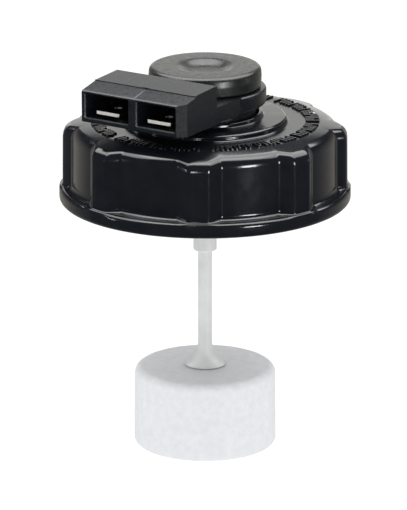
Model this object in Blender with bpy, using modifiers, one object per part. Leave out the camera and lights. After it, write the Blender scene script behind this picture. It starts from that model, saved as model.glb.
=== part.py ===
"""Screw cap of a fluid reservoir with a float level switch.

Metres, +Z up. The cap's axis is Z, the origin lies on it in the plane of the cap's
lower rim, and the connector's mouth faces -Y. Heights below are above that rim.
"""

import math

import bmesh
import bpy
from mathutils import Matrix

MM = 0.001
GAP = 0.3  # clearance between pieces that touch, in millimetres like all sizes below

# Screw cap
RIM_RADIUS = 34.2
RIM_HEIGHT = 3.6
LUG_COUNT = 8
LUG_RADIUS = 33.3
PANEL_RADIUS = 31.3
LUG_HALF_ANGLE = 4.0
FLANK_ANGLE = 5.4
LUG_TURN = 30.7  # from -Y towards +X to the middle of the first lug
CAP_TOP = 18.9
PLATE_UNDERSIDE = 15.6
SHOULDER = 2.2
PLINTH_RADIUS = 19.1
PLINTH_TOP = 20.4
HOLE_COLLAR_RADIUS = 13.5  # raised edge round the hole for the neck
HOLE_COLLAR_TOP = 21.5
SKIRT_BORE = 28.3
THREAD_START = 3.0
THREAD_PITCH = 4.0
THREAD_TURNS = 2.0
THREAD_DEPTH = 1.1

# Contact housing
NECK_RADIUS = 12.0
NECK_END = 9.0
BOSS_RADIUS = 14.3
BODY_UNDERSIDE = 23.5
BOSS_TOP = 27.4
COLLAR_RADIUS = 11.6
COLLAR_TOP = 29.4
CHAMBER_RADIUS = 9.4
CHAMBER_ROOF = 28.0
ROOF_HOLE = 3.4

# Connector shroud, with distances towards the mouth measured from the axis
SHROUD_HALF_WIDTH = 13.95
WEB_HALF_WIDTH = 13.2  # between the boss and the shroud
SHROUD_BACK = 16.0
SHROUD_STEP = 24.97
SHROUD_SLOPE = 28.0
SHROUD_FRONT = 30.44
SHROUD_TOP = 32.42
SHROUD_BACK_TOP = 32.85
LIP_TOP = 32.05
LIP_SLOPE_TOP = 31.85
FRONT_TOP = 30.9
CORNER_CUT = 1.85
SOCKET_BACK = 20.0
SOCKET_FLOOR = 24.7
SOCKET_ROOF = 30.4
SOCKET_WALL = 0.95
CUT_SOCKET_WALL = 2.25  # on the side with the cut corner
PARTITION = 2.4

# Push-on blades and the strips behind them
BLADE_PITCH = 14.1
BLADE_WIDTH = 6.3
BLADE_THICKNESS = 0.8
BLADE_TIP = 30.1
BLADE_TIP_CORNER = 0.3
BLADE_END = 18.0
BLADE_TOP = 26.7
DETENT_RADIUS = 0.9
DETENT_FROM_TIP = 4.5
STRIP_INNER = 5.0
STRIP_OUTER = 7.6
LEG_FRONT = 4.6
FOOT_INNER = 3.3
FOOT_BACK = 1.3
FOOT_TOP = 13.8
RIVET_HOLE = 0.9
CONTACT_OFFSET = 4.6

# Contact base, bushing and shield
BASE_TOP = 12.7
BASE_UNDERSIDE = 10.0
TUBE_RADIUS = 6.0
TUBE_END = -6.0
BUSHING_RADIUS = 2.75
BUSHING_HEAD = 4.2
BUSHING_TOP = 4.0
BUSHING_END = -12.4
SHIELD_RADIUS = 17.0
SHIELD_TOP = 1.8
SHIELD_RIM = -3.5

# Sealing parts
SEAL_RADIUS = 25.5
SEAL_FLANGE_TOP = 15.2
SEAL_FLANGE_UNDERSIDE = 12.6
GASKET_BORE = 20.5
GASKET_UNDERSIDE = 10.4
ORING_RADIUS = 0.6
ORING_HEIGHT = 13.9
ORING_GROOVE = 10.6
CLIP_GROOVE = 11.2
CLIP_HEIGHT = 11.7
CLIP_RADIUS = 14.4
CLIP_THICKNESS = 0.7
CLIP_OPENING = 5.0

# Stem, moving contact and float
STEM_RADIUS = 1.65
STEM_TOP = 23.3
COLLAR_SEAT = 14.6
STEM_COLLAR = 2.6
FLARE_START = -33.0
FLARE_RADIUS = 4.8
STEM_FOOT = -58.6
DISC_RADIUS = 5.8
DISC_UNDERSIDE = 14.9
DISC_TOP = 15.4
WASHER_RADIUS = 3.3
WASHER_UNDERSIDE = 22.3
WASHER_TOP = 22.8
SPRING_RADIUS = 2.6
SPRING_WIRE = 0.25
SPRING_TURNS = 4
FLOAT_TOP = -40.81
FLOAT_END = -59.7
FLOAT_TOP_RADIUS = 16.6
FLOAT_END_RADIUS = 16.76
FLOAT_RECESS = -56.9
FLOAT_CLIP_RADIUS = 4.8

# Protective rubber cap
RUBBER_RADIUS = 13.2
RUBBER_TOP = 32.3
RUBBER_EDGE = 1.7
RUBBER_WALL = 1.2
DISH_RADIUS = 6.7

for old in list(bpy.data.objects):
    bpy.data.objects.remove(old, do_unlink=True)

parts = bpy.data.collections.new("reservoir_cap_with_float_switch")
cutters = bpy.data.collections.new("reservoir_cap_cutters")
for collection in (parts, cutters):
    bpy.context.scene.collection.children.link(collection)
cutters.hide_render = True


def material(name, colour, roughness, metallic=0.0):
    """A Principled material of one colour."""
    made = bpy.data.materials.new(name)
    made.use_nodes = True
    shader = made.node_tree.nodes["Principled BSDF"]
    shader.inputs["Base Color"].default_value = (*colour, 1.0)
    shader.inputs["Roughness"].default_value = roughness
    shader.inputs["Metallic"].default_value = metallic
    return made


def add(name, mesh, finish):
    """Put a mesh in the scene: a part when it has a finish, a cutter or a joined piece when it has none."""
    obj = bpy.data.objects.new(name, mesh)
    if finish is None:
        cutters.objects.link(obj)
        obj.hide_render = True
        obj.display_type = "WIRE"
    else:
        parts.objects.link(obj)
        obj.data.materials.append(finish)
    return obj


def turned(name, outline, finish, segments=48):
    """Turn (radius, height) points about Z. They run down the outer side, and close away from the axis."""
    mesh = bpy.data.meshes.new(name)
    points = [(radius * MM, 0.0, height * MM) for radius, height in outline]
    edges = [(i, i + 1) for i in range(len(points) - 1)]
    if outline[0][0] > 0.0:
        edges.append((len(points) - 1, 0))
    mesh.from_pydata(points, edges, [])
    obj = add(name, mesh, finish)
    screw = obj.modifiers.new("Turn", "SCREW")
    screw.angle = math.tau
    screw.steps = segments
    screw.render_steps = segments
    screw.use_merge_vertices = True
    screw.merge_threshold = 0.00001
    screw.use_smooth_shade = True
    return obj


def arc(centre, radius, start, end, steps=3):
    """Points on an arc in the (radius, height) plane, between two angles in degrees from outwards."""
    angles = [math.radians(start + (end - start) * i / steps) for i in range(steps + 1)]
    return [(centre[0] + radius * math.cos(a), centre[1] + radius * math.sin(a)) for a in angles]


def cleaned(mesh, matrix=None):
    """Weld a mesh made from a curve, move it and turn its faces outwards."""
    work = bmesh.new()
    work.from_mesh(mesh)
    if matrix is not None:
        work.transform(matrix)
    bmesh.ops.remove_doubles(work, verts=work.verts, dist=0.000001)
    bmesh.ops.recalc_face_normals(work, faces=work.faces)
    work.to_mesh(mesh)
    work.free()
    return mesh


def mesh_of(curve_object):
    """The welded mesh of a curve object, which is then removed."""
    bpy.context.view_layer.update()
    graph = bpy.context.evaluated_depsgraph_get()
    mesh = bpy.data.meshes.new_from_object(curve_object.evaluated_get(graph))
    bpy.data.objects.remove(curve_object, do_unlink=True)
    return mesh


def plate(name, outline, low, high, finish, frame=None):
    """A flat outline drawn in X and Y and made solid from height low to high, then turned by a frame."""
    curve = bpy.data.curves.new(name, "CURVE")
    curve.dimensions = "2D"
    curve.fill_mode = "BOTH"
    curve.extrude = (high - low) / 2 * MM
    spline = curve.splines.new("POLY")
    spline.points.add(len(outline) - 1)
    for point, (x, y) in zip(spline.points, outline):
        point.co = (x * MM, y * MM, 0.0, 1.0)
    spline.use_cyclic_u = True
    guide = bpy.data.objects.new(name, curve)
    cutters.objects.link(guide)
    lift = Matrix.Translation((0.0, 0.0, (low + high) / 2 * MM))
    matrix = lift if frame is None else frame @ lift
    return add(name, cleaned(mesh_of(guide), matrix), finish)


def tube(name, points, radius, finish, resolution=2):
    """A round bar along a list of points, with closed ends."""
    curve = bpy.data.curves.new(name, "CURVE")
    curve.dimensions = "3D"
    curve.bevel_depth = radius * MM
    curve.bevel_resolution = resolution
    curve.use_fill_caps = True
    spline = curve.splines.new("POLY")
    spline.points.add(len(points) - 1)
    for point, (x, y, z) in zip(spline.points, points):
        point.co = (x * MM, y * MM, z * MM, 1.0)
    guide = bpy.data.objects.new(name, curve)
    cutters.objects.link(guide)
    return add(name, cleaned(mesh_of(guide)), finish)


def helix(radius, low, high, turns, steps_per_turn):
    """Points of a right-hand helix about Z."""
    count = round(turns * steps_per_turn)
    for i in range(count + 1):
        angle = math.tau * turns * i / count
        height = low + (high - low) * i / count
        yield (radius * math.cos(angle), radius * math.sin(angle), height)


def box(name, low, high, finish=None):
    """A box between two corners."""
    mesh = bpy.data.meshes.new(name)
    work = bmesh.new()
    bmesh.ops.create_cube(work, size=1.0)
    size = [(b - a) * MM for a, b in zip(low, high)]
    middle = [(a + b) / 2 * MM for a, b in zip(low, high)]
    bmesh.ops.scale(work, vec=size, verts=work.verts)
    bmesh.ops.translate(work, vec=middle, verts=work.verts)
    work.to_mesh(mesh)
    work.free()
    return add(name, mesh, finish)


def combine(target, operation, *others):
    """Join other pieces to a piece, or cut them from it."""
    for other in others:
        modifier = target.modifiers.new(operation.title() + " " + other.name, "BOOLEAN")
        modifier.operation = operation
        modifier.object = other


def cap_outline():
    """The scalloped wall of the cap, seen from above."""
    outline = []
    pitch = 360.0 / LUG_COUNT
    panel_start = LUG_HALF_ANGLE + FLANK_ANGLE
    panel_steps = 5
    for lug in range(LUG_COUNT):
        middle = -90.0 + LUG_TURN + lug * pitch
        stations = [(-LUG_HALF_ANGLE, LUG_RADIUS), (0.0, LUG_RADIUS), (LUG_HALF_ANGLE, LUG_RADIUS)]
        for i in range(panel_steps + 1):
            along = panel_start + (pitch - 2 * panel_start) * i / panel_steps
            stations.append((along, PANEL_RADIUS))
        for along, radius in stations:
            angle = math.radians(middle + along)
            outline.append((radius * math.cos(angle), radius * math.sin(angle)))
    return outline


def make_screw_cap(finish):
    """The threaded ring with its lugs, lower rim, top plate and plinth."""
    cap = plate("screw_cap", cap_outline(), RIM_HEIGHT / 2, CAP_TOP, finish)
    round_top = cap.modifiers.new("Shoulder", "BEVEL")
    round_top.width = SHOULDER * MM
    round_top.segments = 2
    round_top.angle_limit = math.radians(60)
    rim = [(PANEL_RADIUS - 1.0, RIM_HEIGHT)]
    rim += arc((RIM_RADIUS - 1.2, RIM_HEIGHT - 1.2), 1.2, 90, 0, 2)
    rim += arc((RIM_RADIUS - 1.4, 1.4), 1.4, 0, -90, 2)
    rim.append((PANEL_RADIUS - 1.0, 0.0))
    plinth = [(0.0, HOLE_COLLAR_TOP), (HOLE_COLLAR_RADIUS - 0.4, HOLE_COLLAR_TOP)]
    plinth += [(HOLE_COLLAR_RADIUS, HOLE_COLLAR_TOP - 0.4), (HOLE_COLLAR_RADIUS, PLINTH_TOP)]
    plinth += arc((PLINTH_RADIUS - 0.8, PLINTH_TOP - 0.8), 0.8, 90, 0, 2)
    plinth += [(PLINTH_RADIUS, CAP_TOP - 1.0), (0.0, CAP_TOP - 1.0)]
    hole = NECK_RADIUS + 2 * GAP
    inside = [(0.0, HOLE_COLLAR_TOP + 1.0), (hole, HOLE_COLLAR_TOP + 1.0), (hole, PLATE_UNDERSIDE)]
    inside += [(SKIRT_BORE, PLATE_UNDERSIDE), (SKIRT_BORE, 1.0), (SKIRT_BORE + 2.0, -1.0), (0.0, -1.0)]
    thread_end = THREAD_START + THREAD_TURNS * THREAD_PITCH
    route = list(helix(SKIRT_BORE + 0.1, THREAD_START, thread_end, THREAD_TURNS, 28))
    ridge = tube("thread_ridge", route, THREAD_DEPTH, None, 0)
    combine(cap, "UNION", turned("cap_rim", rim, None, 64), turned("cap_plinth", plinth, None, 48))
    combine(cap, "DIFFERENCE", turned("cap_inside", inside, None, 48))
    combine(cap, "UNION", ridge)
    cap.data.shade_smooth()
    cap.data.set_sharp_from_angle(angle=math.radians(35))
    return cap


def shroud_profile():
    """The connector shroud from the side, as (distance towards the mouth, height)."""
    return [
        (SHROUD_BACK, BODY_UNDERSIDE),
        (SHROUD_BACK, SHROUD_BACK_TOP),
        (SHROUD_STEP, SHROUD_TOP),
        (SHROUD_STEP, LIP_TOP),
        (SHROUD_SLOPE, LIP_SLOPE_TOP),
        (SHROUD_FRONT, FRONT_TOP),
        (SHROUD_FRONT, BODY_UNDERSIDE),
    ]


def make_sensor_body(finish):
    """The contact housing: neck, boss, collar for the rubber cap, and the connector shroud."""
    neck = [(0.0, COLLAR_TOP), (COLLAR_RADIUS - 0.4, COLLAR_TOP), (COLLAR_RADIUS, COLLAR_TOP - 0.4)]
    neck += [(COLLAR_RADIUS, BOSS_TOP)]
    neck += arc((BOSS_RADIUS - 0.7, BOSS_TOP - 0.7), 0.7, 90, 0, 2)
    neck += arc((BOSS_RADIUS - 0.6, BODY_UNDERSIDE + 0.6), 0.6, 0, -90, 2)
    neck += [(NECK_RADIUS, BODY_UNDERSIDE)]
    oring_groove = (ORING_GROOVE, ORING_HEIGHT, 1.0)
    clip_groove = (CLIP_GROOVE, CLIP_HEIGHT, CLIP_THICKNESS)
    for depth, middle, half in (oring_groove, clip_groove):
        neck += [(NECK_RADIUS, middle + half), (depth, middle + half)]
        neck += [(depth, middle - half), (NECK_RADIUS, middle - half)]
    neck += [(NECK_RADIUS, NECK_END + 0.4), (NECK_RADIUS - 0.4, NECK_END), (0.0, NECK_END)]
    body = turned("sensor_body", neck, finish, 48)

    # Turns the side view's first axis towards the mouth, its second upwards, and its thickness across.
    side_view = Matrix(((0, 0, 1, 0), (-1, 0, 0, 0), (0, 1, 0, 0), (0, 0, 0, 1)))
    shroud = plate("shroud", shroud_profile(), -SHROUD_HALF_WIDTH, SHROUD_HALF_WIDTH, None, side_view)
    web_profile = [(0.0, BODY_UNDERSIDE), (0.0, BOSS_TOP), (SHROUD_BACK + 1.0, BOSS_TOP)]
    web_profile.append((SHROUD_BACK + 1.0, BODY_UNDERSIDE))
    web = plate("web", web_profile, -WEB_HALF_WIDTH, WEB_HALF_WIDTH, None, side_view)
    combine(body, "UNION", shroud, web)

    # A cut at 45 degrees, drawn a little past the block on both sides.
    beyond = 2.0
    corner = [
        (SHROUD_HALF_WIDTH + beyond, -SHROUD_FRONT + CORNER_CUT + beyond),
        (SHROUD_HALF_WIDTH - CORNER_CUT - beyond, -SHROUD_FRONT - beyond),
        (SHROUD_HALF_WIDTH + beyond, -SHROUD_FRONT - beyond),
    ]
    combine(body, "DIFFERENCE", plate("corner_cut", corner, BODY_UNDERSIDE - 1, SHROUD_BACK_TOP + 1, None))

    chamber = [(0.0, COLLAR_TOP + 1.0), (ROOF_HOLE, COLLAR_TOP + 1.0), (ROOF_HOLE, CHAMBER_ROOF)]
    chamber += [(CHAMBER_RADIUS, CHAMBER_ROOF), (CHAMBER_RADIUS, NECK_END - 1.0), (0.0, NECK_END - 1.0)]
    combine(body, "DIFFERENCE", turned("chamber", chamber, None, 40))

    for side, wall in ((-1, SOCKET_WALL), (1, CUT_SOCKET_WALL)):
        inner = side * PARTITION / 2
        outer = side * (SHROUD_HALF_WIDTH - wall)
        low = (min(inner, outer), -SHROUD_FRONT - 1.0, SOCKET_FLOOR)
        high = (max(inner, outer), -SOCKET_BACK, SOCKET_ROOF)
        combine(body, "DIFFERENCE", box(f"socket_{side}", low, high))
        blade_in = (BLADE_PITCH - BLADE_WIDTH) / 2
        slots = (
            (blade_in, blade_in + BLADE_WIDTH, SOCKET_BACK + 1.0, BLADE_END - GAP),
            (STRIP_INNER, STRIP_OUTER, BLADE_END + 0.5, LEG_FRONT),
        )
        for near, far, front, back in slots:
            edges = sorted((side * (near - GAP), side * (far + GAP)))
            low = (edges[0], -front, BLADE_TOP - BLADE_THICKNESS - GAP)
            high = (edges[1], -back, BLADE_TOP + GAP)
            combine(body, "DIFFERENCE", box(f"slot_{side}_{near:.0f}", low, high))
    body.data.shade_smooth()
    return body


def make_drill(name, radius, low, high):
    """A round bar to cut with."""
    return turned(name, [(0.0, high), (radius, high), (radius, low), (0.0, low)], None, 16)


def make_terminal(name, side, finish):
    """A push-on blade, and the strip behind it that bends down to its contact. Side is 1 on +X."""
    blade_in = (BLADE_PITCH - BLADE_WIDTH) / 2
    blade_out = blade_in + BLADE_WIDTH
    tip = BLADE_TIP_CORNER
    flat = [
        (blade_in, BLADE_END),
        (blade_in, BLADE_TIP - tip),
        (blade_in + tip, BLADE_TIP),
        (blade_out - tip, BLADE_TIP),
        (blade_out, BLADE_TIP - tip),
        (blade_out, BLADE_END),
        (STRIP_OUTER, BLADE_END),
        (STRIP_OUTER, LEG_FRONT - 0.5),
        (STRIP_INNER, LEG_FRONT - 0.5),
        (STRIP_INNER, BLADE_END),
    ]
    outline = [(side * x, -y) for x, y in flat]
    strip = plate(name, outline, BLADE_TOP - BLADE_THICKNESS, BLADE_TOP, finish)

    foot_low = FOOT_TOP - BLADE_THICKNESS
    legs = sorted((side * (STRIP_INNER + 0.1), side * (STRIP_OUTER - 0.1)))
    feet = sorted((side * FOOT_INNER, side * STRIP_OUTER))
    leg_low = (legs[0], -LEG_FRONT, foot_low + 0.2)
    leg_high = (legs[1], -LEG_FRONT + BLADE_THICKNESS, BLADE_TOP - 0.2)
    leg = box(f"{name}_leg", leg_low, leg_high)
    foot = box(f"{name}_foot", (feet[0], -LEG_FRONT - 0.1, foot_low), (feet[1], FOOT_BACK, FOOT_TOP))
    combine(strip, "UNION", leg, foot)

    detent = make_drill(f"{name}_detent", DETENT_RADIUS, BLADE_TOP - 2, BLADE_TOP + 1)
    detent.location = (side * BLADE_PITCH / 2 * MM, -(BLADE_TIP - DETENT_FROM_TIP) * MM, 0.0)
    rivet_hole = make_drill(f"{name}_hole", RIVET_HOLE, foot_low - 1, FOOT_TOP + 1)
    rivet_hole.location = (side * CONTACT_OFFSET * MM, 0.0, 0.0)
    combine(strip, "DIFFERENCE", detent, rivet_hole)
    return strip


def make_fixed_contact(name, side, finish):
    """A contact rivet that stands in the foot of a terminal strip."""
    head_top = DISC_UNDERSIDE - 0.2
    head_low = FOOT_TOP + GAP
    outline = [(0.0, head_top), (0.6, head_top - 0.05), (1.0, head_top - 0.3), (1.1, head_low)]
    outline += [(0.6, head_low), (0.6, FOOT_TOP - BLADE_THICKNESS), (0.0, FOOT_TOP - BLADE_THICKNESS)]
    rivet = turned(name, outline, finish, 20)
    rivet.location = (side * CONTACT_OFFSET * MM, 0.0, 0.0)
    return rivet


def make_contact_base(finish):
    """The insert that closes the chamber, with the tube that reaches down to the bushing."""
    bore = BUSHING_RADIUS + GAP
    stem_hole = STEM_RADIUS + GAP + 0.05
    radius = CHAMBER_RADIUS - GAP
    outline = [(stem_hole, BASE_TOP), (radius, BASE_TOP), (radius, BASE_UNDERSIDE)]
    outline += [(TUBE_RADIUS, BASE_UNDERSIDE), (TUBE_RADIUS, TUBE_END), (bore, TUBE_END)]
    outline += [(bore, BASE_UNDERSIDE), (stem_hole, BASE_UNDERSIDE)]
    return turned("contact_base", outline, finish, 32)


def make_guide_bushing(finish):
    """The bushing that the stem slides in, with a head under the tube's end."""
    bore = STEM_RADIUS + 0.25
    head_top = TUBE_END - GAP
    head_low = head_top - 1.0
    outline = [(bore, BUSHING_TOP), (BUSHING_RADIUS, BUSHING_TOP), (BUSHING_RADIUS, head_top)]
    outline += [(BUSHING_HEAD, head_top), (BUSHING_HEAD, head_low), (BUSHING_RADIUS, head_low)]
    outline += arc((BUSHING_RADIUS - 0.3, BUSHING_END + 0.3), 0.3, 0, -90, 1)
    outline.append((bore, BUSHING_END))
    return turned("guide_bushing", outline, finish, 24)


def make_splash_shield(finish):
    """The inverted cup on the tube that keeps splashes off the stem's hole."""
    bore = TUBE_RADIUS + GAP
    wall = 1.1
    edge = 0.8
    outline = [(bore, SHIELD_TOP + 3.2), (bore + 1.3, SHIELD_TOP + 3.2), (bore + 1.3, SHIELD_TOP)]
    outline += arc((SHIELD_RADIUS - edge, SHIELD_TOP - edge), edge, 90, 0, 2)
    outline += [(SHIELD_RADIUS, SHIELD_RIM), (SHIELD_RADIUS - wall, SHIELD_RIM)]
    outline += [(SHIELD_RADIUS - wall, SHIELD_TOP - wall), (bore, SHIELD_TOP - wall)]
    return turned("splash_shield", outline, finish, 36)


def make_ring(name, bore, radius, low, high, finish, segments=48):
    """A flat ring."""
    return turned(name, [(bore, high), (radius, high), (radius, low), (bore, low)], finish, segments)


def make_neck_oring(finish):
    """The round seal in the neck's upper groove."""
    middle = (ORING_GROOVE + NECK_RADIUS + GAP) / 2
    sides = 8
    outline = arc((middle, ORING_HEIGHT), ORING_RADIUS, 90, 90 - 360, sides)[:-1]
    return turned("neck_oring", outline, finish, 28)


def make_lock_ring(finish):
    """The circlip in the neck's lower groove, open on the side away from the connector."""
    low = CLIP_HEIGHT - CLIP_THICKNESS / 2
    high = CLIP_HEIGHT + CLIP_THICKNESS / 2
    ring = make_ring("lock_ring", CLIP_GROOVE + GAP, CLIP_RADIUS, low, high, finish, 40)
    half = CLIP_OPENING / 2
    opening = box("clip_opening", (-half, CLIP_GROOVE / 2, low - 1.0), (half, CLIP_RADIUS + 2.0, high + 1.0))
    combine(ring, "DIFFERENCE", opening)
    return ring


def make_pusher_stem(finish):
    """The stem, with the seat of the moving contact near its top and the flared foot on the float."""
    outline = [(0.0, STEM_TOP), (STEM_RADIUS - 0.3, STEM_TOP), (STEM_RADIUS, STEM_TOP - 0.3)]
    outline += [(STEM_RADIUS, COLLAR_SEAT), (STEM_COLLAR, COLLAR_SEAT)]
    outline += [(STEM_COLLAR, COLLAR_SEAT - 1.0), (STEM_RADIUS, COLLAR_SEAT - 1.0)]
    flare_end = FLOAT_TOP + GAP
    flare_steps = 6
    for i in range(flare_steps + 1):
        along = i / flare_steps
        radius = STEM_RADIUS + (FLARE_RADIUS - STEM_RADIUS) * along**4
        outline.append((radius, FLARE_START + (flare_end - FLARE_START) * along))
    outline += [(STEM_RADIUS, flare_end), (STEM_RADIUS, STEM_FOOT), (0.0, STEM_FOOT)]
    return turned("pusher_stem", outline, finish, 24)


def make_contact_spring(finish):
    """The coil between the moving contact and the washer."""
    low = DISC_TOP + GAP + SPRING_WIRE
    high = WASHER_UNDERSIDE - GAP - SPRING_WIRE
    coil = list(helix(SPRING_RADIUS, low, high, SPRING_TURNS, 12))
    return tube("contact_spring", coil, SPRING_WIRE, finish)


def make_float(finish):
    """The float, with a bore for the stem and a recess for the clip underneath."""
    bore = STEM_RADIUS + 0.4
    recess = 5.5
    top_edge = 1.85
    end_edge = 1.3
    outline = [(bore, FLOAT_TOP)]
    outline += arc((FLOAT_TOP_RADIUS - top_edge, FLOAT_TOP - top_edge), top_edge, 90, 0)
    outline += arc((FLOAT_END_RADIUS - end_edge, FLOAT_END + end_edge), end_edge, 0, -90, 2)
    outline += [(recess, FLOAT_END), (recess, FLOAT_RECESS), (bore, FLOAT_RECESS)]
    return turned("float", outline, finish)


def make_protective_cap(finish):
    """The rubber cap, with a dish in its crown where it is pressed. It is open underneath."""
    skirt_low = BOSS_TOP + GAP
    bore = COLLAR_RADIUS + GAP
    under = RUBBER_TOP - RUBBER_WALL
    dish = [(0.0, -1.0), (3.6, -0.95), (5.2, -0.5), (DISH_RADIUS, -0.05)]
    outline = [(radius, RUBBER_TOP + drop) for radius, drop in dish]
    outline += arc((RUBBER_RADIUS - RUBBER_EDGE, RUBBER_TOP - RUBBER_EDGE), RUBBER_EDGE, 90, 0)
    outline += [(RUBBER_RADIUS, skirt_low), (bore, skirt_low), (bore, under - 0.8), (bore - 0.8, under)]
    outline += [(DISH_RADIUS, under), (4.8, under - 0.7), (0.0, under - 1.0)]
    return turned("protective_cap", outline, finish)


black_plastic = material("cap_plastic", (0.012, 0.013, 0.017), 0.25)
housing_plastic = material("housing_plastic", (0.016, 0.017, 0.02), 0.38)
insert_plastic = material("insert_plastic", (0.05, 0.045, 0.04), 0.5)
rubber = material("rubber", (0.035, 0.035, 0.033), 0.6)
white_plastic = material("white_plastic", (0.82, 0.83, 0.82), 0.4)
float_foam = material("float_foam", (0.86, 0.87, 0.87), 0.55)
tinned_metal = material("tinned_metal", (0.72, 0.70, 0.66), 0.3, 1.0)
brass = material("brass", (0.75, 0.58, 0.28), 0.3, 1.0)
steel = material("steel", (0.6, 0.6, 0.6), 0.3, 1.0)

make_screw_cap(black_plastic)
make_sensor_body(housing_plastic)
make_protective_cap(rubber)
make_contact_base(insert_plastic)
make_terminal("terminal_left", -1, tinned_metal)
make_terminal("terminal_right", 1, tinned_metal)
make_fixed_contact("fixed_contact_left", -1, brass)
make_fixed_contact("fixed_contact_right", 1, brass)
make_guide_bushing(white_plastic)
make_splash_shield(insert_plastic)
make_ring(
    "sealing_flange", NECK_RADIUS + GAP, SEAL_RADIUS, SEAL_FLANGE_UNDERSIDE, SEAL_FLANGE_TOP, housing_plastic
)
gasket_top = SEAL_FLANGE_UNDERSIDE - GAP
make_ring("sealing_gasket", GASKET_BORE, SEAL_RADIUS - 0.2, GASKET_UNDERSIDE, gasket_top, rubber)
make_neck_oring(rubber)
make_lock_ring(steel)
make_pusher_stem(white_plastic)
make_ring("moving_contact", STEM_RADIUS + 0.35, DISC_RADIUS, DISC_UNDERSIDE, DISC_TOP, brass, 32)
make_contact_spring(steel)
make_ring("stem_washer", STEM_RADIUS + 0.3, WASHER_RADIUS, WASHER_UNDERSIDE, WASHER_TOP, steel, 24)
make_float(float_foam)
float_clip_top = FLOAT_RECESS - GAP
make_ring("float_clip", STEM_RADIUS + 0.3, FLOAT_CLIP_RADIUS, float_clip_top - 0.6, float_clip_top, steel, 24)
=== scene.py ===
"""Looks of the reservoir cap with its float level switch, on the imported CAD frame. Metres, +Z up."""
import math

import bmesh
import bpy
from mathutils import Matrix, Vector


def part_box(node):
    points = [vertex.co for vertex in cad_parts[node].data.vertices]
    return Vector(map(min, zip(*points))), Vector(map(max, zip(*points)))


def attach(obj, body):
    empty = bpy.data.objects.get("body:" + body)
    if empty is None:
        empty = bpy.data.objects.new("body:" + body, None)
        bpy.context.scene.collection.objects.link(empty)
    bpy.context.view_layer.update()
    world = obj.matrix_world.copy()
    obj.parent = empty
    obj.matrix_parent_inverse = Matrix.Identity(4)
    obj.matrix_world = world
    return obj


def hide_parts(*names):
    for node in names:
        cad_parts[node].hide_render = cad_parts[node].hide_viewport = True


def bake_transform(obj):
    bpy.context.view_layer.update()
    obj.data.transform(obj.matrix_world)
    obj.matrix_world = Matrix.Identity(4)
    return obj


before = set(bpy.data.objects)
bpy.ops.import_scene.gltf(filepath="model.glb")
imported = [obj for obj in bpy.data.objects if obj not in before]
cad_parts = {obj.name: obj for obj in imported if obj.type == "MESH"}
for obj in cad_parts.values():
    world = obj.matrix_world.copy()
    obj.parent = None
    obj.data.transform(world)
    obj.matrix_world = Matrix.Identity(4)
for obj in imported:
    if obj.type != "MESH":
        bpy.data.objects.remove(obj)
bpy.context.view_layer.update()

MM = 0.001  # every size below is in millimetres

# Screw cap
LUGS = 8
PITCH = 360.0 / LUGS
LUG_TURN = -90.0 + 30.7
LUG_HALF = 4.0
FLANK = 5.4
LUG_RADIUS = 33.3
PANEL_RADIUS = 31.3
RIM_RADIUS = 34.2
RIM_HEIGHT = 3.6
CAP_TOP = 18.9
SLOPE_START = 26.8
SLOPE = 0.2
COLLAR_RADIUS = 13.5
COLLAR_TOP = 21.5
PLINTH_RADIUS = 19.1
PLINTH_TOP = 20.4
NECK_HOLE = 12.6
PLATE_UNDERSIDE = 15.6
BORE = 28.3
THREAD_LOW = 3.0
THREAD_PITCH = 4.0
THREAD_TURNS = 2.0
THREAD_DEPTH = 1.0
THREAD_FADE = 0.5
RIDGE_HALF = 1.25
RIDGE_SLOPE = 1.8
RIDGE_ROOM = 1.4
ROUNDING = 0.2  # degrees between the samples that round the wall's corners
TICK_TURN = 2.4
TICK_HEIGHT = 0.42
TICK_WIDTH = 0.62
TICK_SUNK = 0.3
TICKS_IN_A_RUN = 23
TICKS_LEFT_OUT = (11, 12, 22)

# Contact housing
BODY_LOW = 23.5
BOSS_TOP = 27.4
BOSS_RADIUS = 14.3
SHROUD_HALF = 13.95
SHROUD_NARROW = 0.25
WEB_NARROW = 0.75
SHROUD_STEP = 24.97
SHROUD_FRONT = 30.44
SHROUD_TOP = 32.42
SHROUD_BACK_TOP = 32.85
LIP_TOP = 32.05
LIP_FRONT = 30.95
CORNER_CUT = 1.85
WEB_END = 15.6  # the web between boss and connector ends here
STEP_GAP = 0.12
NECK_RADIUS = 12.0
GROOVE_MIDDLE = 0.3
GROOVE_HALF = 1.5
GROOVE_DEPTH = 0.1
SOCKET_FLOOR = 24.7
SOCKET_ROOF = 30.4
SOCKET_INNER = 1.2
SOCKET_BACK = 20.0
SOCKET_WALL_LEFT = 0.95
SOCKET_WALL_RIGHT = 2.25
MOUTH_DEPTH = 0.35
MOUTH_WIDER = 0.22

# Push-on blades
BLADE_MIDDLE = 7.05
BLADE_HALF = 3.15
BLADE_TIP = 30.1
BLADE_TOP = 26.7
BLADE_THICKNESS = 0.8
BLADE_CORNER = 0.3
BLADE_ROOT = 18.0
STRIP_NEAR = 5.0
STRIP_FAR = 7.6
STRIP_END = 4.1
FOOT_LOW = 13.0
SLOT_GAP = 0.3
DETENT_RADIUS = 0.9
DETENT_BACK = 4.5
RIVET_PLACE = 4.6

# Rubber cap
RUBBER_LOW = BOSS_TOP + 0.3
RUBBER_TOP = 32.3
RUBBER_RADIUS = 13.2
DISH_FLOOR = 2.8
DISH_RADIUS = 7.2
DISH_DEPTH = 1.1
DISH_STEPS = 16

# Stem, bushing and float
STEM_RADIUS = 1.65
FLARE_START = -33.0
FLARE_WIDER = 3.15
FLARE_STEPS = 14
BUSHING_RADIUS = 2.75
BUSHING_BORE = 1.9
FLOAT_TOP_RADIUS = 16.6
FLOAT_END_RADIUS = 16.76
FLOAT_BORE = 2.0

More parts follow.
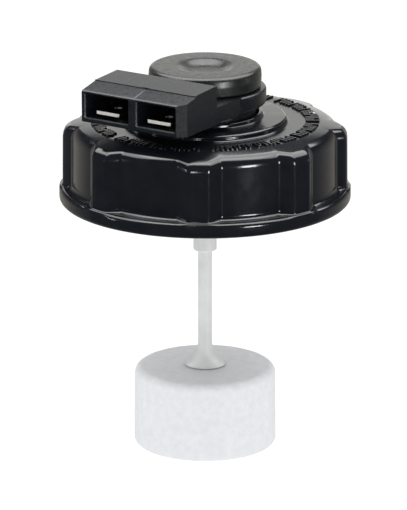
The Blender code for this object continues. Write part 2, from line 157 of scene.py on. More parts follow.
# Contact spring
SPRING_RADIUS = 2.6
SPRING_WIRE = 0.24
SPRING_TURNS = 4
SPRING_LOW = 15.95
SPRING_HIGH = 21.75


# ---------------------------------------------------------------- mesh tools

def new_object(name, mesh):
    """Put a mesh in the scene."""
    obj = bpy.data.objects.new(name, mesh)
    bpy.context.scene.collection.objects.link(obj)
    return obj


def filleted(corners, closed=True, steps=4):
    """Round the corners of an outline. Each corner is (x, y, radius)."""
    count = len(corners)
    points = []
    for i, (x, y, radius) in enumerate(corners):
        here = Vector((x, y))
        if radius <= 0 or (not closed and i in (0, count - 1)):
            points.append((x, y))
            continue
        before = Vector(corners[i - 1][:2]) - here
        after = Vector(corners[(i + 1) % count][:2]) - here
        half = before.angle(after) / 2
        cut = min(radius / math.tan(half), 0.49 * before.length, 0.49 * after.length)
        before.normalize()
        after.normalize()
        centre = here + (before + after).normalized() * (cut / math.cos(half))
        first = here + before * cut - centre
        last = here + after * cut - centre
        sweep = first.angle(last)
        for s in range(steps + 1):
            t = s / steps
            spoke = (math.sin((1 - t) * sweep) * first + math.sin(t * sweep) * last) / math.sin(sweep)
            points.append(tuple(centre + spoke))
    return points


def from_points(name, points, faces):
    """An object from points in millimetres, with its faces turned outwards."""
    work = bmesh.new()
    verts = [work.verts.new([c * MM for c in p]) for p in points]
    for face in faces:
        work.faces.new([verts[i] for i in face])
    bmesh.ops.recalc_face_normals(work, faces=work.faces)
    mesh = bpy.data.meshes.new(name)
    work.to_mesh(mesh)
    work.free()
    return new_object(name, mesh)


def skin(name, rings, wrap):
    """Quads between closed rings of points, which wrap round to the first ring or end in two caps."""
    count = len(rings[0])
    points = [p for ring in rings for p in ring]
    faces = []
    for i in range(len(rings) if wrap else len(rings) - 1):
        a = i * count
        b = (i + 1) % len(rings) * count
        for j in range(count):
            k = (j + 1) % count
            faces.append((a + j, a + k, b + k, b + j))
    if not wrap:
        faces.append(tuple(range(count)))
        faces.append(tuple(range(len(points) - count, len(points))))
    return from_points(name, points, faces)


def turned(name, corners, segments=144, steps=4):
    """Turn an outline of (radius, height, fillet) about Z. It closes on itself, or on the axis."""
    solid = corners[0][0] == 0
    outline = filleted(corners, not solid, steps)
    turns = [math.tau * j / segments for j in range(segments)]
    spokes = [(math.cos(turn), math.sin(turn)) for turn in turns]
    rings = [[(r * c, r * s, z) for c, s in spokes] for r, z in outline if r > 0]
    if not solid:
        return skin(name, rings, True)
    points = [p for ring in rings for p in ring]
    faces = []
    for i in range(len(rings) - 1):
        for j in range(segments):
            k = (j + 1) % segments
            a = i * segments
            faces.append((a + j, a + k, a + segments + k, a + segments + j))
    top, bottom = len(points), len(points) + 1
    points += [(0, 0, outline[0][1]), (0, 0, outline[-1][1])]
    last = (len(rings) - 1) * segments
    for j in range(segments):
        k = (j + 1) % segments
        faces.append((top, j, k))
        faces.append((bottom, last + k, last + j))
    return from_points(name, points, faces)


def prism(name, outline, low, high, frame_of=None, edge=0.0):
    """A flat outline made solid between two heights, with rounded edges round both ends."""
    work = bmesh.new()
    lower = [work.verts.new((x, y, low)) for x, y in outline]
    upper = [work.verts.new((x, y, high)) for x, y in outline]
    ends = [work.faces.new(lower), work.faces.new(upper)]
    for i in range(len(outline)):
        j = (i + 1) % len(outline)
        work.faces.new((lower[i], lower[j], upper[j], upper[i]))
    if edge:
        bmesh.ops.bevel(work, geom=[e for f in ends for e in f.edges], offset=edge, segments=3,
                        profile=0.5, affect="EDGES", clamp_overlap=True)
    if frame_of is not None:
        work.transform(frame_of)
    work.transform(Matrix.Scale(MM, 4))
    bmesh.ops.recalc_face_normals(work, faces=work.faces)
    mesh = bpy.data.meshes.new(name)
    work.to_mesh(mesh)
    work.free()
    return new_object(name, mesh)


def applied(obj):
    """Replace an object's mesh with what its modifiers make of it."""
    bpy.context.view_layer.update()
    graph = bpy.context.evaluated_depsgraph_get()
    mesh = bpy.data.meshes.new_from_object(obj.evaluated_get(graph))
    obj.modifiers.clear()
    obj.data = mesh
    return obj


def carve(obj, joined=(), cut=()):
    """Join some objects to an object and cut others from it, for good."""
    for operation, others in (("UNION", joined), ("DIFFERENCE", cut)):
        for other in others:
            modifier = obj.modifiers.new("Carve", "BOOLEAN")
            modifier.operation = operation
            modifier.solver = "EXACT"
            modifier.object = other
    applied(obj)
    for other in (*joined, *cut):
        bpy.data.objects.remove(other, do_unlink=True)
    return obj


def smooth(obj, angle=32.0):
    """Smooth shading that keeps flat faces flat."""
    obj.data.shade_smooth()
    obj.data.set_sharp_from_angle(angle=math.radians(angle))
    weighted = obj.modifiers.new("Weighted", "WEIGHTED_NORMAL")
    weighted.keep_sharp = True
    return obj


# ---------------------------------------------------------------- materials

def nodes_of(name):
    """A new node material, its tree and its shader."""
    made = bpy.data.materials.new(name)
    made.use_nodes = True
    tree = made.node_tree
    return made, tree, tree.nodes["Principled BSDF"]


def noise(tree, scale, detail=2.0, roughness=0.5):
    """Noise in the object's own space. The scale is in waves per millimetre."""
    where = tree.nodes.new("ShaderNodeTexCoord")
    node = tree.nodes.new("ShaderNodeTexNoise")
    node.inputs["Scale"].default_value = scale / MM
    node.inputs["Detail"].default_value = detail
    node.inputs["Roughness"].default_value = roughness
    tree.links.new(where.outputs["Object"], node.inputs["Vector"])
    return node.outputs["Fac"]


def ranged(tree, value, low, high, start=0.3, end=0.7):
    """Spread the part of a value between start and end over a range."""
    node = tree.nodes.new("ShaderNodeMapRange")
    node.inputs["From Min"].default_value = start
    node.inputs["From Max"].default_value = end
    node.inputs["To Min"].default_value = low
    node.inputs["To Max"].default_value = high
    tree.links.new(value, node.inputs["Value"])
    return node.outputs["Result"]


def mixed(tree, value, dark, light, start=0.3, end=0.7):
    """A colour between two, by a noise value."""
    node = tree.nodes.new("ShaderNodeValToRGB")
    node.color_ramp.elements[0].position = start
    node.color_ramp.elements[0].color = (*dark, 1)
    node.color_ramp.elements[1].position = end
    node.color_ramp.elements[1].color = (*light, 1)
    tree.links.new(value, node.inputs["Fac"])
    return node.outputs["Color"]


def bumped(tree, height, depth, under=None):
    """Bump of a real depth in millimetres."""
    node = tree.nodes.new("ShaderNodeBump")
    node.inputs["Strength"].default_value = 1.0
    node.inputs["Distance"].default_value = depth * MM
    tree.links.new(height, node.inputs["Height"])
    if under is not None:
        tree.links.new(under, node.inputs["Normal"])
    return node.outputs["Normal"]


def finish(name, dark, light, patch, rough, grain, waves=None, **constants):
    """A procedural surface. Patch is the scale of its colour changes and rough the range of its roughness.
    Grain is the scale and depth of its fine bump, and waves those of a broad one."""
    made, tree, shader = nodes_of(name)
    colour = mixed(tree, noise(tree, patch, 4.0, 0.6), dark, light)
    tree.links.new(colour, shader.inputs["Base Color"])
    tree.links.new(ranged(tree, noise(tree, patch * 1.7, 3.0, 0.6), *rough), shader.inputs["Roughness"])
    normal = bumped(tree, noise(tree, grain[0], 2.0, 0.5), grain[1])
    if waves is not None:
        normal = bumped(tree, noise(tree, waves[0], 1.0, 0.5), waves[1], normal)
    tree.links.new(normal, shader.inputs["Normal"])
    for socket, value in constants.items():
        shader.inputs[socket.replace("_", " ")].default_value = value
    return made


def facing(made, axis, start, end):
    """How far a surface faces along an axis of the row frame, from 0 to 1."""
    tree = made.node_tree
    where = tree.nodes.new("ShaderNodeNewGeometry")
    along = tree.nodes.new("ShaderNodeVectorMath")
    along.operation = "DOT_PRODUCT"
    along.inputs[1].default_value = axis
    tree.links.new(where.outputs["Normal"], along.inputs[0])
    return ranged(tree, along.outputs["Value"], 0.0, 1.0, start, end)


def changed(made, socket, share, value):
    """Move a shader's value or colour towards another one, by a share from 0 to 1."""
    tree = made.node_tree
    shader = tree.nodes["Principled BSDF"]
    mix = tree.nodes.new("ShaderNodeMix")
    mix.data_type = "FLOAT" if isinstance(value, float) else "RGBA"
    start, end = [given for given in mix.inputs if given.enabled and given.name in ("A", "B")]
    result = [given for given in mix.outputs if given.enabled][0]
    tree.links.new(share, mix.inputs["Factor"])
    if shader.inputs[socket].links:
        tree.links.new(shader.inputs[socket].links[0].from_socket, start)
    else:
        start.default_value = shader.inputs[socket].default_value
    end.default_value = value
    tree.links.new(result, shader.inputs[socket])


cap_plastic = finish("cap_plastic", (0.006, 0.007, 0.009), (0.009, 0.010, 0.013), 0.25,
                     (0.12, 0.17), (1.2, 0.0012), (0.12, 0.012))
changed(cap_plastic, "Roughness", facing(cap_plastic, (0, 0, 1), 0.9, 0.995), 0.2)
housing_plastic = finish("housing_plastic", (0.004, 0.0055, 0.008), (0.008, 0.010, 0.013), 0.8,
                         (0.26, 0.35), (3.5, 0.0015))
cap_rubber = finish("cap_rubber", (0.009, 0.011, 0.012), (0.018, 0.019, 0.018), 0.4,
                    (0.24, 0.38), (2.6, 0.010), (0.3, 0.015))
seal_rubber = finish("seal_rubber", (0.014, 0.014, 0.014), (0.026, 0.026, 0.025), 0.6,
                     (0.5, 0.65), (2.5, 0.01))
insert_plastic = finish("insert_plastic", (0.035, 0.03, 0.026), (0.06, 0.052, 0.045), 0.5,
                        (0.42, 0.55), (3.0, 0.01))
white_plastic = finish("white_plastic", (0.74, 0.75, 0.75), (0.82, 0.83, 0.83), 0.3,
                       (0.35, 0.5), (2.0, 0.006),
                       Subsurface_Weight=0.15, Subsurface_Radius=(0.004, 0.004, 0.004),
                       Subsurface_Scale=0.5)
float_foam = finish("float_foam", (0.73, 0.74, 0.76), (0.80, 0.81, 0.83), 0.55,
                    (0.5, 0.65), (1.1, 0.03), (0.25, 0.05), Specular_IOR_Level=0.25,
                    Subsurface_Weight=0.15, Subsurface_Radius=(0.003, 0.003, 0.003),
                    Subsurface_Scale=0.5)
tinned_metal = finish("tinned_metal", (0.66, 0.64, 0.59), (0.80, 0.78, 0.74), 1.0,
                      (0.16, 0.26), (4.0, 0.004), Metallic=1.0)
# Painted highlight: faces toward the front are made less metallic, so the white light makes the blade
# fronts bright.
changed(tinned_metal, "Metallic", facing(tinned_metal, (0, -1, 0), 0.4, 0.8), 0.35)
# Painted shade: faces that look up get a near-black colour in place of the tin's, standing in for the dark
# socket roof they reflect.
changed(tinned_metal, "Base Color", facing(tinned_metal, (0, 0, 1), 0.5, 0.9),
        (0.05, 0.048, 0.045, 1.0))
contact_metal = finish("contact_metal", (0.62, 0.46, 0.2), (0.78, 0.6, 0.3), 1.2,
                       (0.22, 0.36), (4.0, 0.004), Metallic=1.0)
spring_steel = finish("spring_steel", (0.45, 0.45, 0.45), (0.62, 0.62, 0.61), 1.2,
                      (0.25, 0.4), (4.0, 0.004), Metallic=1.0)
FINISHES = {
    "cap_plastic": cap_plastic, "housing_plastic": housing_plastic, "cap_rubber": cap_rubber,
    "seal_rubber": seal_rubber, "insert_plastic": insert_plastic, "white_plastic": white_plastic,
    "float_foam": float_foam, "tinned_metal": tinned_metal, "contact_metal": contact_metal,
    "spring_steel": spring_steel,
}


def place(obj, body, slot, *nodes):
    """Give a piece its finish and its body, and let it stand for some CAD nodes."""
    obj.data.materials.clear()
    obj.data.materials.append(FINISHES[slot])
    if body is not None:
        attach(obj, body)
    if nodes:
        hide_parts(*nodes)
    return obj


# ---------------------------------------------------------------- screw cap

def raw_wall(along):
    """The wall's radius at an angle from the nearest lug's middle, before its corners are rounded."""
    away = abs((along + PITCH / 2) % PITCH - PITCH / 2)
    drop = min(max((away - LUG_HALF) / FLANK, 0.0), 1.0)
    return LUG_RADIUS + (PANEL_RADIUS - LUG_RADIUS) * drop


def wall_radius(along):
    """The wall's radius with rounded corners."""
    spread = [raw_wall(along + i * ROUNDING) for i in range(-4, 5)]
    return sum(spread) / len(spread)


def lug_angles():
    """Angles from one lug's middle to the next, closer together where the wall bends."""
    corners = (LUG_HALF, LUG_HALF + FLANK, PITCH - LUG_HALF - FLANK, PITCH - LUG_HALF)
    angles = {round(i * 1.5, 3) for i in range(int(PITCH / 1.5))}
    for corner in corners:
        angles |= {round(corner + i * 0.25, 3) for i in range(-5, 6)}
    kept = []
    for angle in sorted(angles):
        if not kept or angle - kept[-1] > 0.15:
            kept.append(angle)
    return kept


def thread_radius(turn, height):
    """The bore's radius on the thread, which fades out at both its ends."""
    length = THREAD_PITCH * THREAD_TURNS
    raised = 0.0
    for lap in range(int(THREAD_TURNS) + 1):
        up = turn % 360.0 / 360.0 * THREAD_PITCH + lap * THREAD_PITCH
        if 0.0 <= up <= length:
            fade = min(1.0, up / THREAD_FADE, (length - up) / THREAD_FADE)
            near = 1.0 - abs(height - THREAD_LOW - up) / RIDGE_HALF
            raised = max(raised, fade * THREAD_DEPTH * min(1.0, max(0.0, near * RIDGE_SLOPE)))
    return BORE - raised


def cap_section(turn, wall):
    """The cap's closed outline of (radius, height) at one angle."""
    thread_end = THREAD_LOW + THREAD_PITCH * THREAD_TURNS + RIDGE_ROOM
    thread_start = THREAD_LOW - RIDGE_ROOM
    shoulder = CAP_TOP - (wall - SLOPE_START) * SLOPE
    corners = [
        (BORE, thread_end, 0),
        (BORE, PLATE_UNDERSIDE, 1.0),
        (NECK_HOLE, PLATE_UNDERSIDE, 0.4),
        (NECK_HOLE, COLLAR_TOP, 0.2),
        (COLLAR_RADIUS, COLLAR_TOP, 0.5),
        (COLLAR_RADIUS, PLINTH_TOP, 0.5),
        (PLINTH_RADIUS, PLINTH_TOP - 0.1, 1.1),
        (PLINTH_RADIUS - 0.1, CAP_TOP, 0.6),
        (SLOPE_START, CAP_TOP, 6.0),
        (wall - 0.05, shoulder, 2.8),
        (wall + 0.1, RIM_HEIGHT, 1.2),
        (RIM_RADIUS - 0.05, RIM_HEIGHT, 1.1),
        (RIM_RADIUS, 0.0, 1.2),
        (BORE + 1.2, 0.0, 0.5),
        (BORE, thread_start, 0),
    ]
    outline = filleted(corners, False, 5)
    steps = 32
    for i in range(1, steps):
        height = thread_start + (thread_end - thread_start) * i / steps
        outline.append((thread_radius(turn, height), height))
    return outline


def make_cap():
    """The threaded ring with its eight lugs."""
    rings = []
    for lug in range(LUGS):
        for along in lug_angles():
            turn = LUG_TURN + lug * PITCH + along
            c, s = math.cos(math.radians(turn)), math.sin(math.radians(turn))
            rings.append([(r * c, r * s, z) for r, z in cap_section(turn, wall_radius(along))])
    return skin("cap_shell", rings, True)


def make_ticks():
    """Plain raised bars round the top, in groups, in place of the maker's lettering."""
    lengths = ((23.4, 26.8), (23.4, 26.8), (24.7, 26.8), (23.4, 26.8), (23.4, 25.5))
    work = bmesh.new()
    for i in range(int(360 / TICK_TURN)):
        if i % TICKS_IN_A_RUN in TICKS_LEFT_OUT:
            continue
        inner, outer = lengths[i % len(lengths)]
        made = bmesh.ops.create_cube(work, size=1.0)["verts"]
        for v in made:
            taper = 1.0 if v.co.z < 0 else 0.72
            v.co.y *= TICK_WIDTH * taper
            v.co.x = (inner + outer) / 2 + v.co.x * (outer - inner) * (1.0 if v.co.z < 0 else 0.94)
            v.co.z = CAP_TOP + (TICK_HEIGHT if v.co.z > 0 else -TICK_SUNK)
        turn = Matrix.Rotation(math.radians(i * TICK_TURN), 3, "Z")
        bmesh.ops.rotate(work, verts=made, matrix=turn)
    bmesh.ops.bevel(work, geom=list(work.edges), offset=0.09, segments=2, profile=0.5,
                    affect="EDGES")
    work.transform(Matrix.Scale(MM, 4))
    mesh = bpy.data.meshes.new("cap_tick_ring")
    work.to_mesh(mesh)
    work.free()
    return new_object("cap_tick_ring", mesh)


place(smooth(make_cap(), 40), "cap", "cap_plastic", "screw_cap")
place(smooth(make_ticks(), 40), "cap", "cap_plastic")


# ---------------------------------------------------------------- contact housing

# Turns an outline of (distance to the front, height) into the YZ plane, drawn out along X.
SIDE_VIEW = Matrix(((0, 0, 1, 0), (-1, 0, 0, 0), (0, 1, 0, 0), (0, 0, 0, 1)))


def make_shroud():
    """The connector's block: its side view drawn out across. Behind the step it is a little narrower."""
    side = filleted([
        (2.0, BODY_LOW + 0.02, 0), (2.0, BOSS_TOP - 0.04, 0), (16.0, BOSS_TOP - 0.04, 0.25),
        (16.0, SHROUD_BACK_TOP, 0.35), (SHROUD_STEP, SHROUD_TOP, 0.2), (SHROUD_STEP, LIP_TOP, 0.08),
        (SHROUD_FRONT, LIP_FRONT, 0.5), (SHROUD_FRONT, BODY_LOW + 0.02, 0.35),
    ], True, 4)
    block = prism("shroud", side, -SHROUD_HALF, SHROUD_HALF, SIDE_VIEW, 0.25)
    work = bmesh.new()
    work.from_mesh(block.data)
    for distance in (WEB_END - 0.1, WEB_END + 0.05, SHROUD_STEP, SHROUD_STEP - STEP_GAP,
                     SHROUD_FRONT - CORNER_CUT):
        bmesh.ops.bisect_plane(work, geom=[*work.verts, *work.edges, *work.faces],
                               plane_co=(0, -distance * MM, 0), plane_no=(0, 1, 0))
    for v in work.verts:
        distance = -v.co.y / MM
        if distance < WEB_END:
            v.co.x -= math.copysign(WEB_NARROW * MM, v.co.x)
        elif distance < SHROUD_STEP - 0.1:
            v.co.x -= math.copysign(SHROUD_NARROW * MM, v.co.x)
        elif distance > SHROUD_FRONT - CORNER_CUT and v.co.x > 0:
            v.co.x -= (distance - SHROUD_FRONT + CORNER_CUT) * MM
    work.to_mesh(block.data)
    work.free()
    return block


def socket_cutter(side, wall):
    """The room round one blade, a little wider at its mouth."""
    x0, x1 = sorted((side * SOCKET_INNER, side * (SHROUD_HALF - wall)))
    corner = 0.35
    rings = []
    for distance, wider in ((SOCKET_BACK, 0.0), (SHROUD_FRONT - MOUTH_DEPTH, 0.0),
                            (SHROUD_FRONT, MOUTH_WIDER), (SHROUD_FRONT + 1, MOUTH_WIDER)):
        low = SOCKET_FLOOR - wider
        high = SOCKET_ROOF + wider
        section = filleted([
            (x0 - wider, low, corner), (x1 + wider, low, corner),
            (x1 + wider, high, corner), (x0 - wider, high, corner),
        ], True, 3)
        rings.append([(x, -distance, z) for x, z in section])
    return skin(f"socket_{side}", rings, False)


def block_cutter(name, low, high):
    """A plain block to cut with."""
    corners = [(low[0], low[1]), (high[0], low[1]), (high[0], high[1]), (low[0], high[1])]
    return prism(name, corners, low[2], high[2])


def groove_cutter():
    """The V groove along the middle of the lip."""
    rings = []
    for distance, height in ((SHROUD_STEP - 0.1, LIP_TOP + 0.02),
                             (SHROUD_FRONT + 0.6, LIP_FRONT - 0.12)):
        rings.append([(GROOVE_MIDDLE - GROOVE_HALF, -distance, height + 0.5),
                      (GROOVE_MIDDLE, -distance, height - GROOVE_DEPTH),
                      (GROOVE_MIDDLE + GROOVE_HALF, -distance, height + 0.5)])
    return skin("groove", rings, False)


def make_housing():
    """Neck, boss, collar and connector shroud in one moulding."""
    body = turned("housing_shell", [
        (0, 29.4, 0), (11.6, 29.4, 0.4), (11.6, BOSS_TOP, 0.15), (BOSS_RADIUS, BOSS_TOP, 0.6),
        (BOSS_RADIUS, BODY_LOW, 0.9), (NECK_RADIUS, BODY_LOW, 0.4),
        # groove of the o-ring
        (NECK_RADIUS, 14.9, 0.1), (10.6, 14.9, 0.1), (10.6, 12.9, 0.1), (NECK_RADIUS, 12.9, 0.1),
        # groove of the lock ring
        (NECK_RADIUS, 12.4, 0.1), (11.2, 12.4, 0.05), (11.2, 11.0, 0.05), (NECK_RADIUS, 11.0, 0.1),
        (NECK_RADIUS, 9.0, 0.4), (0, 9.0, 0),
    ], 128, 4)
    chamber = turned("chamber", [
        (0, 31, 0), (3.4, 31, 0), (3.4, 28.0, 0), (9.4, 28.0, 0), (9.4, 8.0, 0), (0, 8.0, 0),
    ], 64)
    cuts = [chamber, groove_cutter()]
    slots = ((BLADE_MIDDLE - BLADE_HALF, BLADE_MIDDLE + BLADE_HALF, 21.0, 17.7),
             (STRIP_NEAR, STRIP_FAR, 18.5, 4.6))
    for side, wall in ((-1, SOCKET_WALL_LEFT), (1, SOCKET_WALL_RIGHT)):
        cuts.append(socket_cutter(side, wall))
        for near, far, front, back in slots:
            x0, x1 = sorted((side * (near - SLOT_GAP), side * (far + SLOT_GAP)))
            low = (x0, -front, BLADE_TOP - BLADE_THICKNESS - SLOT_GAP)
            cuts.append(block_cutter("slot", low, (x1, -back, BLADE_TOP + SLOT_GAP)))
    return carve(body, [make_shroud()], cuts)


place(smooth(make_housing(), 30), "sensor", "housing_plastic", "sensor_body")


# ---------------------------------------------------------------- blades

def make_terminal(name, side):
    """A push-on blade with rounded edges and a detent, and the strip behind it."""
    near = BLADE_MIDDLE - BLADE_HALF
    far = BLADE_MIDDLE + BLADE_HALF
    flat = [(near, BLADE_ROOT), (near, BLADE_TIP - BLADE_CORNER), (near + BLADE_CORNER, BLADE_TIP),
            (far - BLADE_CORNER, BLADE_TIP), (far, BLADE_TIP - BLADE_CORNER), (far, BLADE_ROOT),
            (STRIP_FAR, BLADE_ROOT), (STRIP_FAR, STRIP_END), (STRIP_NEAR, STRIP_END),
            (STRIP_NEAR, BLADE_ROOT)]
    strip = prism(name, [(side * x, -y) for x, y in flat], BLADE_TOP - BLADE_THICKNESS, BLADE_TOP)
    legs = sorted((side * 5.1, side * 7.5))
    feet = sorted((side * 3.3, side * 7.6))
    leg = block_cutter("leg", (legs[0], -4.6, FOOT_LOW + 0.2), (legs[1], -3.8, BLADE_TOP - 0.2))
    foot = block_cutter("foot", (feet[0], -4.7, FOOT_LOW), (feet[1], 1.3, FOOT_LOW + BLADE_THICKNESS))
    detent = turned("detent", [
        (0, 30, 0), (DETENT_RADIUS, 30, 0), (DETENT_RADIUS, 24, 0), (0, 24, 0),
    ], 28)
    place_of_detent = (side * BLADE_MIDDLE * MM, -(BLADE_TIP - DETENT_BACK) * MM, 0)
    detent.data.transform(Matrix.Translation(place_of_detent))
    rivet = turned("rivet", [(0, 15, 0), (0.9, 15, 0), (0.9, 12, 0), (0, 12, 0)], 24)
    rivet.data.transform(Matrix.Translation((side * RIVET_PLACE * MM, 0, 0)))
    carve(strip, [leg, foot], [detent, rivet])
    edge = strip.modifiers.new("Edge", "BEVEL")
    edge.width = 0.13 * MM
    edge.segments = 2
    edge.angle_limit = math.radians(50)
    return applied(strip)


place(smooth(make_terminal("blade_left", -1), 35), "sensor", "tinned_metal", "terminal_left")
place(smooth(make_terminal("blade_right", 1), 35), "sensor", "tinned_metal", "terminal_right")


# ---------------------------------------------------------------- rubber cap

dish = [(0, RUBBER_TOP - DISH_DEPTH, 0)]
for step in range(DISH_STEPS + 1):
    share = step / DISH_STEPS
    dish.append((DISH_FLOOR + (DISH_RADIUS - DISH_FLOOR) * share,
                 RUBBER_TOP - DISH_DEPTH * (1 + math.cos(math.pi * share)) / 2, 0))
rubber = turned("rubber_test_cap", dish + [
    (RUBBER_RADIUS - 0.15, RUBBER_TOP, 1.7),
    (RUBBER_RADIUS, 30.0, 2.0), (RUBBER_RADIUS - 0.1, RUBBER_LOW, 0.35),
    (11.9, RUBBER_LOW, 0.2), (11.9, 31.1, 0.7), (5.4, 31.0, 0.6), (4.2, 30.2, 0.6), (0, 30.2, 0),
], 144, 5)
place(smooth(rubber, 60), None, "cap_rubber", "protective_cap")
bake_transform(rubber)


# ---------------------------------------------------------------- float, stem and bushing

float_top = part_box("float")[1].z / MM
float_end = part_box("float")[0].z / MM
float_shell = turned("float_shell", [
    (FLOAT_BORE, float_top, 0.3), (FLOAT_TOP_RADIUS, float_top, 1.9),
    (FLOAT_END_RADIUS, float_end, 1.3), (5.5, float_end, 0.4),
    (5.5, -56.9, 0.3), (FLOAT_BORE, -56.9, 0.2),
], 160, 6)
place(smooth(float_shell, 40), "float_unit", "float_foam", "float")

flare_end = float_top + 0.3
stem = [(0, 23.3, 0), (STEM_RADIUS, 23.3, 0.3), (STEM_RADIUS, 14.6, 0), (2.6, 14.6, 0.1),
        (2.6, 13.6, 0.1), (STEM_RADIUS, 13.6, 0)]
for i in range(FLARE_STEPS + 1):
    t = i / FLARE_STEPS
    stem.append((STEM_RADIUS + FLARE_WIDER * t**4, FLARE_START + (flare_end - FLARE_START) * t, 0))
stem += [(STEM_RADIUS, flare_end, 0.1), (STEM_RADIUS, -58.6, 0.3), (0, -58.6, 0)]
place(smooth(turned("stem_shell", stem, 64), 40), "float_unit", "white_plastic", "pusher_stem")

bushing = turned("bushing_shell", [
    (BUSHING_BORE, 4.0, 0.1), (BUSHING_RADIUS, 4.0, 0.3), (BUSHING_RADIUS, -6.3, 0),
    (4.2, -6.3, 0.2), (4.2, -7.3, 0.2), (BUSHING_RADIUS, -7.3, 0.15),
    (BUSHING_RADIUS, -12.4, 0.3), (BUSHING_BORE, -12.4, 0.15),
], 72)
place(smooth(bushing, 40), "sensor", "white_plastic", "guide_bushing")

shield = turned("shield_shell", [
    (6.3, 5.0, 0.2), (7.6, 5.0, 0.4), (7.6, 1.8, 0.5), (17.0, 1.8, 1.2),
    (17.0, -3.5, 0.35), (15.9, -3.5, 0.35), (15.9, 0.7, 0.8), (6.3, 0.7, 0.2),
])
place(smooth(shield, 40), "sensor", "insert_plastic", "splash_shield")

base = turned("base_shell", [
    (2.0, 12.7, 0.2), (9.1, 12.7, 0.3), (9.1, 10.0, 0.3), (6.0, 10.0, 0.5),
    (6.0, -6.0, 0.4), (3.05, -6.0, 0.2), (3.05, 10.0, 0.2), (2.0, 10.0, 0.2),
], 96)
place(smooth(base, 40), "sensor", "insert_plastic", "contact_base")

gasket = turned("gasket_shell", [
    (20.5, 12.3, 0.2), (25.3, 12.3, 0.2), (25.3, 10.4, 0.35), (20.5, 10.4, 0.35),
])
place(smooth(gasket, 40), "sensor", "seal_rubber", "sealing_gasket")

flange = turned("flange_shell", [
    (12.3, 15.2, 0.2), (25.5, 15.2, 0.4), (25.5, 12.6, 0.4), (12.3, 12.6, 0.2),
])
place(smooth(flange, 40), "sensor", "housing_plastic", "sealing_flange")

clip = turned("clip_shell", [
    (1.9, -57.2, 0.1), (4.8, -57.2, 0.15), (4.8, -57.8, 0.15), (1.9, -57.8, 0.1),
], 72)
place(smooth(clip, 40), "float_unit", "spring_steel", "float_clip")

# Small inner pieces keep their CAD shapes and only get a finish.
for node, slot in (("neck_oring", "seal_rubber"), ("lock_ring", "spring_steel"),
                   ("stem_washer", "spring_steel"), ("moving_contact", "contact_metal"),
                   ("fixed_contact_left", "contact_metal"), ("fixed_contact_right", "contact_metal")):
    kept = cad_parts[node]
    kept.data.materials.clear()
    kept.data.materials.append(FINISHES[slot])


def make_spring():
    """The coil spring between the contact disc and the stem's washer."""
    rings = []
    steps = SPRING_TURNS * 20
    for step in range(steps + 1):
        turn = math.tau * SPRING_TURNS * step / steps
        height = SPRING_LOW + (SPRING_HIGH - SPRING_LOW) * step / steps
        ring = []
        for corner in range(10):
            angle = math.tau * corner / 10
            radius = SPRING_RADIUS + SPRING_WIRE * math.cos(angle)
            z = height + SPRING_WIRE * math.sin(angle)
            ring.append((radius * math.cos(turn), radius * math.sin(turn), z))
        rings.append(ring)
    return skin("coil_spring", rings, False)


spring = make_spring()
place(smooth(spring, 60), None, "spring_steel", "contact_spring")
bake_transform(spring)


# ---------------------------------------------------------------- camera

VIEW_TURN = math.radians(33.3)
VIEW_RISE = math.radians(16.741)
VIEW_DISTANCE = 1200.1
VIEW_HEIGHT = -13.854
VIEW_ASIDE = 0.365
toward = Vector((math.sin(VIEW_TURN), -math.cos(VIEW_TURN), 0.0))
right = Vector((math.cos(VIEW_TURN), math.sin(VIEW_TURN), 0.0))


def direction(turn, rise):
    """A direction from the object, by its turn from the camera's side to the right, and its rise."""
    turn, rise = math.radians(turn), math.radians(rise)
    level = toward * math.cos(turn) + right * math.sin(turn)
    return level * math.cos(rise) + Vector((0, 0, math.sin(rise)))


camera = bpy.data.objects.new("camera", bpy.data.cameras.new("camera"))
bpy.context.scene.collection.objects.link(camera)
aim = Vector((0, 0, VIEW_HEIGHT * MM)) - right * VIEW_ASIDE * MM
back = toward * math.cos(VIEW_RISE) + Vector((0, 0, math.sin(VIEW_RISE)))
camera.location = aim + back * VIEW_DISTANCE * MM
camera.rotation_mode = "QUATERNION"
camera.rotation_quaternion = (-back).to_track_quat("-Z", "Y")
camera.data.lens = 359.95
camera.data.sensor_width = 36.0
camera.data.clip_start = 0.05
camera.data.clip_end = 30.0
bpy.context.scene.camera = camera


# ---------------------------------------------------------------- floor and light

def panel_light(name, turn, rise, distance, size, radiance, colour=(1, 1, 1), diffuse=True):
    """A soft box that faces the object. Its brightness is a radiance."""
    data = bpy.data.lights.new(name, "AREA")
    data.shape = "RECTANGLE"
    data.size, data.size_y = size
    data.energy = radiance * math.pi * size[0] * size[1]
    data.color = colour
    lamp = bpy.data.objects.new(name, data)
    bpy.context.scene.collection.objects.link(lamp)
    away = direction(turn, rise)
    lamp.location = away * distance
    lamp.rotation_mode = "QUATERNION"
    lamp.rotation_quaternion = away.to_track_quat("Z", "Y")
    lamp.visible_camera = False
    lamp.visible_diffuse = diffuse


panel_light("light_backdrop", 180, 11, 1.3, (0.75, 0.62), 0.97, (1.0, 0.99, 0.965))
panel_light("light_overhead", 180, 77, 1.0, (2.4, 1.3), 4.8, diffuse=False)
panel_light("light_top", 0, 86, 1.0, (1.3, 0.4), 3.0)
panel_light("light_right", 36.8, 1.5, 1.0, (0.22, 0.26), 26.0, diffuse=False)
panel_light("light_far_right", 94, 0, 1.0, (0.05, 0.16), 8.0, diffuse=False)
panel_light("light_front", -10, 3, 1.0, (0.1, 0.16), 18.0, diffuse=False)
panel_light("light_left", -75, 2, 1.0, (0.03, 0.2), 18.0, diffuse=False)

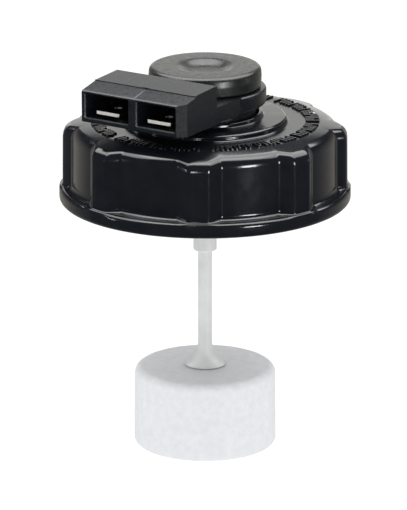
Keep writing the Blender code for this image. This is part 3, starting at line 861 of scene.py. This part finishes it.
work = bmesh.new()
bmesh.ops.create_grid(work, x_segments=8, y_segments=8, size=4.0)
floor_mesh = bpy.data.meshes.new("floor")
work.to_mesh(floor_mesh)
work.free()
floor = new_object("floor", floor_mesh)
floor.location.z = (float_end - 0.4) * MM
floor.visible_glossy = False
floor.visible_shadow = False
floor_paint, _, floor_shader = nodes_of("floor_paint")
floor_shader.inputs["Base Color"].default_value = (0.12, 0.12, 0.12, 1)
floor_shader.inputs["Roughness"].default_value = 1.0
floor_shader.inputs["Specular IOR Level"].default_value = 0.0
floor_shader.inputs["Emission Color"].default_value = (1, 1, 1, 1)
floor_shader.inputs["Emission Strength"].default_value = 0.97
floor.data.materials.append(floor_paint)

# The studio's walls: white to the camera, a little less to matt surfaces, and dim to glossy ones,
# which see a grey-white wall behind the object and dark elsewhere.
world = bpy.data.worlds.new("studio")
bpy.context.scene.world = world
world.use_nodes = True
sky = world.node_tree
sky.nodes.clear()
path = sky.nodes.new("ShaderNodeLightPath")
white = sky.nodes.new("ShaderNodeBackground")
white.inputs["Color"].default_value = (1, 1, 1, 1)
strength = sky.nodes.new("ShaderNodeMapRange")
strength.inputs["To Min"].default_value = 0.92
strength.inputs["To Max"].default_value = 1.0
sky.links.new(path.outputs["Is Camera Ray"], strength.inputs["Value"])
sky.links.new(strength.outputs["Result"], white.inputs["Strength"])
dim = sky.nodes.new("ShaderNodeBackground")
dim.inputs["Strength"].default_value = 1.0
where = sky.nodes.new("ShaderNodeTexCoord")
behind = sky.nodes.new("ShaderNodeVectorMath")
behind.operation = "DOT_PRODUCT"
behind.inputs[1].default_value = tuple(-toward)
sky.links.new(where.outputs["Generated"], behind.inputs[0])
shade = sky.nodes.new("ShaderNodeValToRGB")
shade.color_ramp.elements[0].position = 0.56
shade.color_ramp.elements[0].color = (0.016, 0.021, 0.032, 1)
shade.color_ramp.elements[1].position = 0.88
shade.color_ramp.elements[1].color = (0.42, 0.40, 0.36, 1)
spread = sky.nodes.new("ShaderNodeMapRange")
spread.inputs["From Min"].default_value = -1.0
spread.inputs["From Max"].default_value = 1.0
sky.links.new(behind.outputs["Value"], spread.inputs["Value"])
sky.links.new(spread.outputs["Result"], shade.inputs["Fac"])
apart = sky.nodes.new("ShaderNodeSeparateXYZ")
sky.links.new(where.outputs["Generated"], apart.inputs[0])
upper = sky.nodes.new("ShaderNodeMapRange")
upper.inputs["From Min"].default_value = 0.0
upper.inputs["From Max"].default_value = 0.35
sky.links.new(apart.outputs["Z"], upper.inputs["Value"])
level = sky.nodes.new("ShaderNodeMixRGB")
level.inputs["Color2"].default_value = (0.022, 0.027, 0.040, 1)
sky.links.new(upper.outputs["Result"], level.inputs["Fac"])
sky.links.new(shade.outputs["Color"], level.inputs["Color1"])
sky.links.new(level.outputs["Color"], dim.inputs["Color"])
blend = sky.nodes.new("ShaderNodeMixShader")
sky.links.new(path.outputs["Is Glossy Ray"], blend.inputs["Fac"])
sky.links.new(white.outputs["Background"], blend.inputs[1])
sky.links.new(dim.outputs["Background"], blend.inputs[2])
out = sky.nodes.new("ShaderNodeOutputWorld")
sky.links.new(blend.outputs["Shader"], out.inputs["Surface"])
bpy.context.scene.view_settings.view_transform = "Standard"
